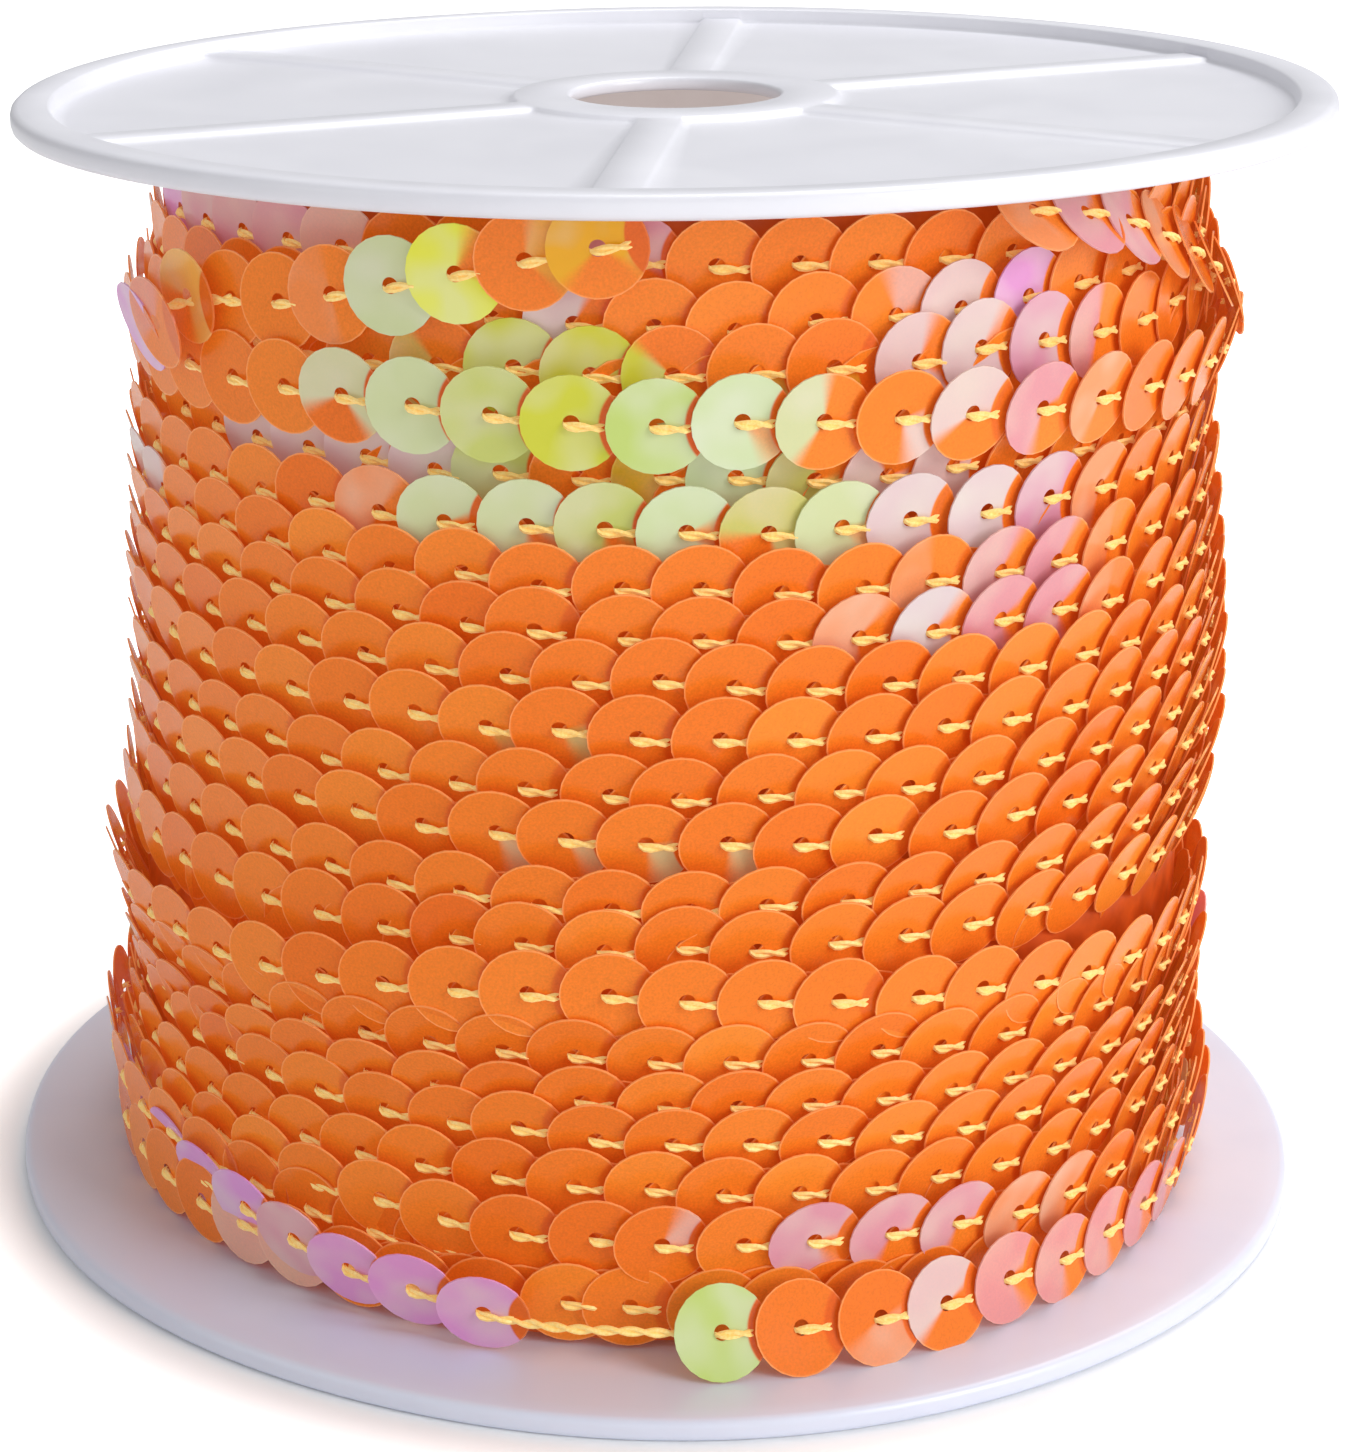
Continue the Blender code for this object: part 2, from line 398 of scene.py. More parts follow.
floor_material, tree, shader = new_material("matt_paper")
place = add_node(tree, "ShaderNodeTexCoord")
paper = add_noise(tree, place, 2 * MM, 3.0)
pale = add_blend(tree, paper, "#F4F4F4", "#FAFAFA")
outward = add_vector_math(tree, "LENGTH", {0: place.outputs["Object"]})["Value"]
glow = add_range(tree, outward, GLOW_FROM, GLOW_TO, 0.0, 0.8)
seen = add_node(tree, "ShaderNodeLightPath")
lit = add_math(tree, "MULTIPLY", glow, seen.outputs["Is Camera Ray"])
fill(
    tree, shader, {"Emission Color": WHITE, "Roughness": 0.8},
    {"Base Color": pale, "Emission Strength": lit},
)
bpy.ops.mesh.primitive_plane_add(size=6.0)
floor = bpy.context.object
floor.name = "floor"
floor.data.materials.append(floor_material)

world = bpy.data.worlds.new("studio")
bpy.context.scene.world = world
world.use_nodes = True
tree = world.node_tree
tree.nodes.clear()
seen = add_node(tree, "ShaderNodeLightPath")
backdrop, ambient = [
    add_node(tree, "ShaderNodeBackground", None, {"Color": WHITE, "Strength": strength})
    for strength in (BACKDROP_STRENGTH, AMBIENT_STRENGTH)
]
either = add_node(
    tree, "ShaderNodeMixShader", None, None,
    {0: seen.outputs["Is Camera Ray"], 1: ambient.outputs[0], 2: backdrop.outputs[0]},
)
add_node(tree, "ShaderNodeOutputWorld", None, None, {"Surface": either.outputs[0]})
print("floor bright from", GLOW_FROM / MM, "mm, ambient", AMBIENT_STRENGTH)

# %% Lamps
def add_lamp(name, place, target, width, height, radiance):
    """A soft box facing its target. Its power is pi times its area times its brightness."""
    data = bpy.data.lights.new(name, "AREA")
    data.shape = "RECTANGLE"
    data.size, data.size_y = width, height
    data.energy = math.pi * width * height * radiance
    lamp = bpy.data.objects.new(name, data)
    bpy.context.scene.collection.objects.link(lamp)
    toward = np.array(target) - np.array(place)
    toward = toward / np.linalg.norm(toward)
    across = np.cross(toward, (0.0, 0.0, 1.0))
    across = across / np.linalg.norm(across)
    pose = np.eye(4)
    pose[:3, :3] = np.stack([across, np.cross(across, toward), -toward], axis=1)
    pose[:3, 3] = place
    lamp.matrix_world = pose.T.tolist()
    lamp.visible_camera = False
    return lamp


middle = (0.0, 0.0, 0.04)
add_lamp("top_box", (0.25, 0.4, 0.85), middle, 0.7, 0.7, 3.5)
add_lamp("right_box", (0.75, -0.55, 0.45), middle, 0.5, 0.6, 6.8)
add_lamp("left_box", (-0.8, -0.35, 0.4), middle, 0.4, 0.5, 1.1)
add_lamp("front_box", (0.1, -1.1, 0.2), middle, 0.8, 0.35, 0.95)
print("lamps:", [light.name for light in bpy.data.lights])

# %% [markdown]
# ## The winding
#
# The trim is one strand that runs round the spool in a shallow helix. The table gives each
# turn's height where it crosses the left, the front and the right of the roll, the roll's
# radius there, its lift, which is how far it stands out from that radius, and how far its
# sequins lean. On the real roll a turn is never level: some droop, some ride over the next.
# Behind the roll each turn runs on smoothly into the next one's left height.
#
# Low at the front the strand shows bare thread for a little way, so one turn has a gap there,
# and the sequins around it lean unevenly.

# %% Turns
# Columns: height at the left, front and right, radius at the left and right, lift at the left,
# front and right, all in mm, then the lean and the angle of the front sequin, in degrees
turn_table = np.array([
    (68.3, 69.3, 69.3, 35.0, 35.6, -0.2, -0.2, -0.2, 14.0, -85.8),
    (65.2, 65.9, 67.2, 35.0, 36.3, 0.0, 0.0, 0.0, 15.0, -91.7),
    (62.2, 63.3, 64.1, 35.4, 37.1, 0.0, 0.0, 0.0, 15.0, -89.6),
    (60.3, 60.6, 60.0, 36.1, 37.5, 0.9, 1.0, 0.8, 13.0, -91.3),
    (56.3, 56.8, 56.4, 36.2, 36.9, -0.6, -0.7, -0.5, 15.0, -91.1),
    (53.4, 53.8, 54.0, 36.5, 37.0, 0.0, 0.1, 0.0, 15.0, -88.5),
    (50.5, 50.6, 50.5, 36.6, 37.4, 0.0, 0.0, 0.0, 18.0, -86.8),
    (47.6, 47.6, 47.1, 36.6, 37.7, 0.0, 0.0, 0.0, 18.0, -86.6),
    (44.9, 44.8, 43.8, 36.7, 38.0, 0.0, 0.0, 0.0, 18.0, -90.5),
    (41.8, 41.7, 40.9, 36.8, 38.2, 0.1, 0.2, 0.1, 18.0, -92.1),
    (37.9, 37.9, 37.9, 36.8, 38.5, 0.0, 0.0, 0.0, 18.0, -88.1),
    (34.6, 35.1, 34.6, 36.9, 38.5, 0.0, 0.1, 0.0, 18.0, -91.4),
    (30.8, 31.1, 31.4, 37.0, 38.3, 0.1, 0.1, 0.1, 18.0, -87.3),
    (27.4, 28.2, 28.1, 37.4, 38.0, 0.0, 0.0, 0.0, 18.0, -87.9),
    (22.5, 25.5, 21.9, 38.3, 37.9, 0.4, 0.6, 0.4, 14.0, -87.5),
    (19.4, 21.3, 19.5, 38.2, 38.0, -0.3, -0.3, -0.3, 18.0, -90.2),
    (17.5, 18.3, 16.6, 37.7, 38.2, 0.0, 0.0, 0.0, 18.0, -89.9),
    (15.4, 15.4, 13.7, 37.3, 38.3, 0.0, 0.0, 0.0, 18.0, -88.4),
    (12.3, 12.4, 10.7, 37.6, 37.9, 0.0, 0.0, 0.0, 18.0, -90.6),
    (9.9, 9.2, 7.6, 38.0, 38.4, 0.0, 0.4, 0.4, 17.0, -88.6),
    (8.4, 6.9, 6.0, 38.0, 38.5, 0.9, -1.3, -1.3, 10.0, -90.0),
    (6.5, 4.2, 4.6, 37.6, 38.8, 0.3, 2.4, 0.9, 18.0, -91.0),
    (4.3, 4.5, 4.5, 37.6, 38.8, 1.0, -0.3, -0.4, 12.0, -91.8),
])
SEQUIN_RADIUS = 3.0 * MM
HOLE_RADIUS = 0.5 * MM
FILM_THICKNESS = 0.11 * MM
# In mm: along the strand between two sequins, from the roll's radius in to their middles, and
# from the floor up to the lowest middle
SEQUIN_STEP = 4.7
CENTRE_DEPTH = 0.9
LOWEST_CENTRE = 4.45
# In degrees: how far most sequins lean out at the top, and how far each is turned so that it
# lies over its neighbour
OUTER_LEAN_DEGREES = 18.0
SHINGLE_DEGREES = 4.2
# The turn with the bare thread, the gap's two angles, and the stretch where its lean is even
BARE_TURN = 21
BARE_FROM, BARE_TO = -103.0, -87.0
EVEN_FROM, EVEN_TO, EVEN_LEAN = -170.0, -95.0, 17.0
knot_sides = np.array([-150.0, -90.0, -30.0])
turn_count = len(turn_table)
print(turn_count, "turns, from", turn_table[0, 1], "down to", turn_table[-1, 1], "mm at the front")

# %% The strand through the turns
def smooth_through(x, knots, values):
    """A cubic between each two knots that leaves and arrives with the slope of the chords."""
    slopes = np.gradient(values, knots)
    k = np.clip(np.searchsorted(knots, x) - 1, 0, len(knots) - 2)
    width = knots[k + 1] - knots[k]
    t = (x - knots[k]) / width
    start = (2 * t**3 - 3 * t**2 + 1) * values[k] + (t**3 - 2 * t**2 + t) * width * slopes[k]
    finish = (3 * t**2 - 2 * t**3) * values[k + 1] + (t**3 - t**2) * width * slopes[k + 1]
    return start + finish


def roll_radius(angle, height):
    """The roll's radius: it changes with height, and from left to right with the cosine."""
    heights, left, right = turn_table[:, 1], turn_table[:, 3], turn_table[:, 4]
    mean = np.interp(-height, -heights, (left + right) / 2)
    half = np.interp(-height, -heights, (right - left) / 2)
    return mean + half * np.cos(np.radians(angle))


def strand_angles(before=9, after=10):
    """Sequins equally spaced from each turn's front sequin to the next's, and some past them."""
    fronts = 360.0 * np.arange(turn_count) + turn_table[:, 9]
    steps = np.degrees(SEQUIN_STEP / (turn_table[:, 3:5].mean(axis=1) - CENTRE_DEPTH))
    counts = np.round(np.diff(fronts) / ((steps[1:] + steps[:-1]) / 2)).astype(int)
    numbers = np.concatenate([[0], np.cumsum(counts)])
    angles = np.interp(np.arange(numbers[-1] + 1), numbers, fronts)
    head = fronts[0] - steps[0] * np.arange(before, 0, -1)
    tail = fronts[-1] + steps[-1] * np.arange(1, after + 1)
    return np.concatenate([head, angles, tail])


main_angles = strand_angles()
bare_base = 360.0 * BARE_TURN
bare = (main_angles > bare_base + BARE_FROM) & (main_angles < bare_base + BARE_TO)
main_angles = main_angles[~bare]
main_knots = (360.0 * np.arange(turn_count)[:, None] + knot_sides).ravel()
main_heights = smooth_through(main_angles, main_knots, turn_table[:, :3].ravel())
main_heights = np.maximum(main_heights, LOWEST_CENTRE)
main_lift = smooth_through(main_angles, main_knots, turn_table[:, 5:8].ravel())
leans = np.repeat(turn_table[:, 8:9], 3, axis=1)
leans[BARE_TURN] = 14.0, -22.0, 12.0
leans[BARE_TURN + 1] = 3.0, 10.0, 12.0
main_lean = smooth_through(main_angles, main_knots, leans.ravel())
even = (main_angles > bare_base + EVEN_FROM) & (main_angles < bare_base + EVEN_TO)
main_lean[even] = EVEN_LEAN
print(f"{len(main_angles)} sequins in {turn_count} turns")

# %% [markdown]
# ## A sequin and where it sits
#
# A sequin is a washer of film, 0.11 mm thick at its rim and thinner towards the hole, which
# dishes its front by a degree. Each one lies over its left neighbour and under its right one,
# so it is turned a few degrees about the upright, and it leans so that its top stands over the
# turn above, besides following the roll where that flares. A hand-fed machine never does this
# evenly, so both angles and the place vary a little, from a seeded generator.

# %% Sequin template and frames
# How unevenly sequins lie, as standard deviations: degrees round the roll, mm up it and out of
# it, and the degrees of their two turns. The drift in height is shared by nine in a row
ANGLE_SPREAD = 0.25
HEIGHT_SPREAD, HEIGHT_DRIFT, DRIFT_SPAN = 0.1, 0.12, 9
RADIUS_SPREAD = 0.02
YAW_SPREAD, LEAN_SPREAD = 0.5, 0.9


def washer(outer, hole, thickness, sides):
    """Three rings, hole, front rim and back rim, joined in a loop round the section."""
    turn = np.arange(sides) * 2 * math.pi / sides
    ring = np.stack([np.cos(turn), np.sin(turn), np.zeros(sides)], axis=1)
    lift = np.array([0.0, 0.0, thickness / 2])
    return np.concatenate([ring * hole, ring * outer + lift, ring * outer - lift])


def lay_sequins(angles, heights, lift, lean, seed, loose=1.0):
    """Centres and axes of sequins on the roll: along the strand, up the roll and outward."""
    rng = np.random.default_rng(seed)
    count = len(angles)
    noise = rng.normal(0, 1, count + DRIFT_SPAN - 1)
    drift_up = np.convolve(noise, np.ones(DRIFT_SPAN) / math.sqrt(DRIFT_SPAN), "valid")
    angles = angles + rng.normal(0, ANGLE_SPREAD * loose, count)
    heights = heights + rng.normal(0, HEIGHT_SPREAD * loose, count) + HEIGHT_DRIFT * drift_up
    proud = SEQUIN_RADIUS / MM * np.sin(np.radians(OUTER_LEAN_DEGREES))
    radii = roll_radius(angles, heights) - proud + lift
    radii = radii + RADIUS_SPREAD * rng.normal(0, loose, count)
    a = np.radians(angles)
    centres = np.stack([radii * np.cos(a), radii * np.sin(a), heights], axis=1) * MM
    outward = np.stack([np.cos(a), np.sin(a), np.zeros(count)], axis=1)
    slope = np.gradient(heights) / (np.gradient(a) * radii)
    along = np.stack([-np.sin(a), np.cos(a), slope], axis=1)
    along = along / np.linalg.norm(along, axis=1, keepdims=True)
    upward = np.cross(outward, along)
    flare = (roll_radius(angles, heights + 3) - roll_radius(angles, heights - 3)) / 6
    yaw = np.radians(SHINGLE_DEGREES + rng.normal(0, YAW_SPREAD * loose, count))[:, None]
    leaned = np.radians(lean + rng.normal(0, LEAN_SPREAD * loose, count))
    tip = np.arctan(flare)[:, None] + leaned[:, None]
    x_axis = np.cos(yaw) * along - np.sin(yaw) * outward
    facing = np.cos(yaw) * outward + np.sin(yaw) * along
    y_axis = np.cos(tip) * upward + np.sin(tip) * facing
    z_axis = np.cos(tip) * facing - np.sin(tip) * upward
    return centres, np.stack([x_axis, y_axis, z_axis], axis=1)


SEQUIN_SIDES = 24
sequin = washer(SEQUIN_RADIUS, HOLE_RADIUS, FILM_THICKNESS, SEQUIN_SIDES)
sequin_faces = grid_faces(3, SEQUIN_SIDES, close_rows=True, close_columns=True)
print(f"one sequin has {len(sequin_faces)} faces")

# %% [markdown]
# ## Where the flashes are painted
#
# The green, white and lilac patches are painted reflections of the lamps, in short runs along
# some turns. Each row below names a turn, the angles between which its sequins get a painted
# flash, the colour there and how strong it is. At the sides and round the back a tenth of the
# sequins also get a painted flash at random, because the photo doesn't show what is there.

# %% Painted flash runs
# Colours of the painted flashes, the lamps' reflections in the coat
MINT, LIME, PALE, PEARL = "#B4C86E", "#C0C83C", "#C1D09F", "#CFBDC0"
LILAC, PINK, PEACH = "#D093D2", "#CB92AA", "#E2946A"
# Columns: turn, first and last angle, colour, share, slice's heading in degrees, slice's reach
flash_runs = [
    (0, -180, -149, LILAC, 0.8, 90, -1.5),
    (0, -149, -128, PINK, 0.8, 100, -1.5),
    (0, -128, -119, PEARL, 0.6, 120, -1.0),
    (0, -97, -90, PINK, 0.8, 90, -0.4),
    (1, -103, -97, PEARL, 0.9, 180, -0.3),
    (1, -73, -65, PEARL, 0.5, 70, 0.7),
    (1, -65, -57, PEARL, 0.85, 150, -0.7),
    (1, -57, -46, LILAC, 0.9, 120, -0.8),
    (2, -116, -108, MINT, 0.5, 200, 0.0),
    (2, -108, -101, LIME, 0.95, 130, -0.75),
    (2, -101, -93, LIME, 0.9, 130, -0.75),
    (2, -93, -86, LIME, 0.9, 215, 0.15),
    (2, -86, -71, LIME, 0.6, 300, 0.8),
    (2, -71, -63, PEARL, 0.85, 200, -0.55),
    (2, -63, -57, PEARL, 0.9, 200, -0.9),
    (2, -57, -49, PINK, 0.95, 180, -1.5),
    (2, -49, -42, PINK, 0.7, 160, 0.1),
    (3, -125, -117, PALE, 0.85, 70, -0.6),
    (3, -117, -110, PALE, 0.95, 150, -1.5),
    (3, -110, -103, MINT, 0.9, 150, -1.5),
    (3, -103, -95, LIME, 0.95, 150, -1.5),
    (3, -95, -88, MINT, 1.0, 150, -1.5),
    (3, -88, -81, PALE, 1.0, 150, -0.95),
    (3, -81, -73, PALE, 0.9, 160, 0.2),
    (3, -73, -66, PEARL, 0.8, 310, 0.75),
    (3, -66, -59, PEARL, 0.85, 100, -0.35),
    (3, -59, -52, PINK, 0.75, 130, -0.6),
    (3, -52, -41, PEACH, 0.7, 150, -0.3),
    (4, -143, -109, PEARL, 0.9, 270, -1.5),
    (4, -109, -103, MINT, 0.9, 250, -1.5),
    (4, -95, -88, LIME, 0.5, 200, 0.4),
    (4, -88, -79, PALE, 1.0, 260, -1.5),
    (4, -79, -72, MINT, 0.8, 230, -0.8),
    (4, -72, -58, PEARL, 0.8, 240, -0.5),
    (5, -122, -114, PEACH, 0.7, 160, 0.0),
    (5, -114, -107, PALE, 0.95, 140, -0.5),
    (5, -107, -100, PALE, 0.95, 120, -0.8),
    (5, -100, -92, MINT, 0.9, 120, -0.9),
    (5, -92, -85, PALE, 1.0, 170, -0.95),
    (5, -85, -77, MINT, 0.8, 60, -0.6),
    (5, -77, -70, PALE, 0.95, 160, -1.0),
    (5, -70, -56, PEARL, 0.95, 150, -1.5),
    (5, -56, -48, PINK, 0.95, 150, -1.5),
    (5, -48, -40, PEACH, 0.75, 160, -0.4),
    (6, -168, -152, PEARL, 0.8, 180, -0.7),
    (6, -68, -61, PEACH, 0.5, 200, -0.2),
    (6, -61, -46, PINK, 0.75, 190, -0.5),
    (6, -46, -37, PEACH, 0.5, 190, 0.0),
    (7, -75, -68, PEACH, 0.8, 170, -0.3),
    (7, -68, -61, PEARL, 1.0, 200, -0.9),
    (7, -61, -46, PINK, 0.75, 180, -0.6),
    (7, -46, -38, PEACH, 0.5, 180, 0.0),
    (9, -111, -95, MINT, 0.7, 325, 0.9),
    (11, -108, -84, PALE, 0.7, 320, 0.88),
    (19, -92, -85, PEARL, 0.5, 20, 0.8),
    (19, -78, -71, PINK, 0.85, 150, -0.75),
    (19, -71, -57, PINK, 0.8, 130, -0.6),
    (19, -57, -42, PEACH, 0.75, 160, -0.5),
    (21, -168, -128, LILAC, 0.95, 235, -1.5),
    (21, -128, -121, PINK, 0.85, 240, -1.5),
    (21, -121, -103, LILAC, 0.85, 130, -1.5),
    (21, -87, -81, MINT, 1.0, 160, -1.5),
    (21, -74, -67, PEACH, 0.6, 300, 0.2),
    (21, -67, -61, PEARL, 0.8, 120, 0.0),
    (21, -61, -25, PINK, 0.6, 150, -0.7),
    (22, -142, -126, PEARL, 0.5, 270, -0.5),
]
print(len(flash_runs), "runs of coated sequins")

# %% Painted flash of each sequin
# Sequins farther than this from the front, in degrees, may get a stray painted flash
FAR_SIDE_DEGREES = 80
STRAY_CHANCE = 0.1
# To the right of 82 degrees before the roll's right side, the neighbour's painted reflection grows
# over
# 50 degrees to its full reach, in sequin radii
REFLECTION_FROM, REFLECTION_OVER, REFLECTION_REACH = 82, 50, 0.24


def paint_flashes(angles, seed, runs=()):
    """Painted flash colour, slice and dose for each sequin: a few at random, the others from the
    runs.
    """
    rng = np.random.default_rng(seed)
    count = len(angles)
    tone = np.clip(rng.normal(0.5, 0.17, count), 0, 1)
    palette = np.array([linear(c) for c in (MINT, PALE, PINK, LILAC, PEARL)])
    painted_flashes = palette[rng.integers(0, len(palette), count)]
    away = np.abs((angles + 270) % 360 - 180) > FAR_SIDE_DEGREES
    chance = np.where(away, STRAY_CHANCE, 0.0)
    share = np.where(rng.random(count) < chance, rng.uniform(0.3, 0.9, count), 0.0)
    heading = rng.uniform(90.0, 210.0, count)
    reach = rng.uniform(-0.9, 0.6, count)
    for turn, first, last, colour, strength, middle_way, width in runs:
        chosen = (angles >= 360.0 * turn + first) & (angles < 360.0 * turn + last)
        painted_flashes[chosen] = linear(colour)
        share[chosen] = strength
        heading[chosen] = middle_way + rng.normal(0, 8, int(chosen.sum()))
        reach[chosen] = width + rng.normal(0, 0.06, int(chosen.sum()))
    round_roll = (angles + 180) % 360 - 180
    turned_right = np.clip((round_roll + REFLECTION_FROM) / REFLECTION_OVER, 0, 1)
    band = REFLECTION_REACH * turned_right
    heading = np.radians(heading)
    splits = np.stack([np.cos(heading), np.sin(heading), band], axis=1)
    doses = np.stack([tone, share, reach], axis=1)
    return painted_flashes, splits, doses


def add_sequins(name, centres, axes, flashes_and_dye, template=None, faces=None):
    """One joined piece of sequins, each with its own painted flash, slice and dose."""
    template = sequin if template is None else template
    faces = sequin_faces if faces is None else faces
    painted_flashes, splits, doses = flashes_and_dye
    count, size = len(centres), len(template)
    local = np.tile(template / SEQUIN_RADIUS * (1, 1, 0), (count, 1))
    return add_piece(
        name, carry_copies(template, centres, axes), copy_faces(faces, size, count),
        film,
        attributes={
            "flat": ("FLOAT_VECTOR", local),
            "split": ("FLOAT_VECTOR", np.repeat(splits, size, axis=0)),
            "dose": ("FLOAT_VECTOR", np.repeat(doses, size, axis=0)),
            "painted_flash": ("FLOAT_COLOR", np.repeat(painted_flashes, size, axis=0)),
        },
    )


# %% Outer turns
main_centres, main_axes = lay_sequins(main_angles, main_heights, main_lift, main_lean, seed=11)
main_flashes = paint_flashes(main_angles, seed=12, runs=flash_runs)
thirds = np.array_split(np.arange(len(main_angles)), 3)
for label, part in zip(("upper_turns", "middle_turns", "lower_turns"), thirds):
    flashes_and_dye = tuple(values[part] for values in main_flashes)
    add_sequins(label, main_centres[part], main_axes[part], flashes_and_dye)

# %% [markdown]
# ## Stitches
#
# Between two holes the thread shows for about two millimetres: it comes up through the hole,
# lies on the film and goes under the next sequin's raised edge. Each stitch is two plies that
# twist once round each other. One stitch is computed and carried to every sequin.

# %% Two-ply stitch
PLY_RADIUS = 0.16 * MM
PLY_SIDES = 5
PLY_FLATNESS = 0.7


def ply_points(path, beside, above, radius, phase, turns, sides=PLY_SIDES):
    """One of two plies: a tube whose centre circles the path at one ply radius."""
    count = len(path)
    spin = phase + np.linspace(0, 2 * math.pi * turns, count)
    circle = np.cos(spin)[:, None] * beside + np.sin(spin)[:, None] * PLY_FLATNESS * above
    centre = path + radius * circle
    taper = np.ones(count)
    taper[[0, -1]] = 0.3
    turn = -np.arange(sides) * 2 * math.pi / sides
    sideways = np.cos(turn)[None, :, None] * beside[:, None]
    ring = sideways + np.sin(turn)[None, :, None] * above[:, None]
    return (centre[:, None] + ring * (radius * taper)[:, None, None]).reshape(-1, 3)


def stitch_template():
    """A two-ply thread along X: up through the hole, over the film, under the next sequin."""
    along = np.array([-0.55, -0.42, -0.15, 0.3, 0.75, 1.2, 1.65, 1.95]) * MM
    height = np.array([-0.3, -0.05, 0.14, 0.2, 0.17, 0.2, 0.16, 0.06]) * MM
    path = np.stack([along, np.full_like(along, -0.14 * MM), height], axis=1)
    beside = np.tile((0.0, 1.0, 0.0), (len(path), 1))
    above = np.tile((0.0, 0.0, 1.0), (len(path), 1))
    plies = [
        ply_points(path, beside, above, PLY_RADIUS, phase, 0.9) for phase in (0.4, math.pi + 0.4)
    ]
    faces = grid_faces(len(path), PLY_SIDES, close_columns=True)
    return np.concatenate(plies), np.concatenate([faces, faces + len(path) * PLY_SIDES])


stitch, stitch_faces = stitch_template()
add_piece(
    "stitches", carry_copies(stitch, main_centres, main_axes),
    copy_faces(stitch_faces, len(stitch), len(main_centres)), thread,
)

# %% [markdown]
# ## The layer underneath
#
# Where two outer turns part, the sequins of the layer below show. They are laid the same way,
# half a turn's height lower and a millimetre in, with fewer sides, and a plain ring inside
# them closes the last gaps.

# %% Inner layer
INNER_DROP, INNER_DEPTH = 1.6, 1.0
INNER_LOWEST, INNER_HIGHEST = 4.5, 69.8
inner_angles = (main_angles[:-1] + main_angles[1:]) / 2
inner_heights = np.clip(main_heights[:-1] - INNER_DROP, INNER_LOWEST, INNER_HIGHEST)
inner_lift = np.minimum(main_lift[:-1], 0.0) - INNER_DEPTH
inner_lean = np.full(len(inner_angles), OUTER_LEAN_DEGREES)
inner_centres, inner_axes = lay_sequins(
    inner_angles, inner_heights, inner_lift, inner_lean, seed=21, loose=1.5,
)
INNER_SIDES = 16
inner_sequin = washer(SEQUIN_RADIUS, HOLE_RADIUS, FILM_THICKNESS, INNER_SIDES)
inner_faces = grid_faces(3, INNER_SIDES, close_rows=True, close_columns=True)
inner_flashes = paint_flashes(inner_angles, seed=22)
add_sequins("inner_turns", inner_centres, inner_axes, inner_flashes, inner_sequin, inner_faces)

# %% Core of the roll
def turned(profile, sides):
    """A closed section of (radius, height) turned about Z, outer side first and downward."""
    turn = np.arange(sides) * 2 * math.pi / sides
    radius, height = profile[:, :1], profile[:, 1:]
    return np.stack(
        [radius * np.cos(turn), radius * np.sin(turn), height + 0 * turn], axis=-1,
    ).reshape(-1, 3)


trim_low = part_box("wound_trim")[0]
barrel_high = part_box("barrel")[1]
barrel_radius = barrel_high[0]
CORE_ROWS, CORE_SIDES = 40, 72
CORE_DEPTH = 2.2
core_inside = barrel_radius + 0.3 * MM
core_bottom = trim_low[2] + 0.1 * MM
core_top = barrel_high[2] - 1.0 * MM
core_heights = np.linspace(core_top, core_bottom, CORE_ROWS)
front_radius = roll_radius(np.full(CORE_ROWS, -90.0), core_heights / MM)
core_radius = (front_radius - CORE_DEPTH) * MM
core_profile = np.concatenate([
    np.stack([core_radius, core_heights], axis=1),
    [(core_inside, core_bottom), (core_inside, core_top)],
])
core_faces = grid_faces(len(core_profile), CORE_SIDES, close_rows=True, close_columns=True)
core = add_piece(
    "core_turns", turned(core_profile, CORE_SIDES), core_faces, shade,
)
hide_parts("wound_trim")

# %% [markdown]
# ## The cut end, the crossing turn and the loose kink
#
# The last sequins of the trim lie on top of the upper turns at the left and end just under the
# flange. At the right a turn crosses the others steeply. At the far left the strand is kinked
# and three sequins stand out from the roll, with thread between them. Low at the front a bare
# length of thread runs between two sequins.

# %% Short runs on top
def lay_run(name, places, count, lift, seed, painted_flashes):
    """A short run of sequins through a few (angle, height, lean) places, with its own painted
    flashes.
    """
    places = np.array(places, float)
    at = np.linspace(places[0, 0], places[-1, 0], count)
    z = smooth_through(at, places[:, 0], places[:, 1])
    rise = np.linspace(lift[0], lift[1], count)
    lean = smooth_through(at, places[:, 0], places[:, 2])
    centres, axes = lay_sequins(at, z, rise, lean, seed, loose=0.4)
    colours, splits, doses = paint_flashes(at, seed)
    for k, (colour, share, heading, reach) in painted_flashes.items():
        colours[k] = linear(colour)
        splits[k, :2] = math.cos(math.radians(heading)), math.sin(math.radians(heading))
        doses[k, 1:] = share, reach
    add_sequins(name, centres, axes, (colours, splits, doses))
    return centres, axes


end_places = [
    (-136.5, 64.9, 10), (-129.7, 65.5, 10), (-116.6, 67.4, 9), (-103.4, 69.5, 8), (-96.8, 70.4, 6),
]
# Painted flashes of the end sequins, by number: colour, share, slice's heading and reach
end_flashes = {
    2: (PEACH, 0.3, 180, 0.0), 3: (PALE, 0.95, 150, -1.5), 4: ("#DDE02E", 1.0, 200, -0.8),
    5: ("#E0B040", 0.6, 10, 0.5), 6: ("#E0A820", 0.9, 90, -0.6),
}
end_centres, end_axes = lay_run("end_sequins", end_places, 7, (2.1, 2.1), 31, end_flashes)

crossing_places = [
    (-55, 72.0, -48), (-48, 71.6, -45), (-40, 70.3, -34), (-32, 68.7, -26), (-19, 65.6, -16),
    (-7, 62.6, -8), (8, 59.5, 0),
]
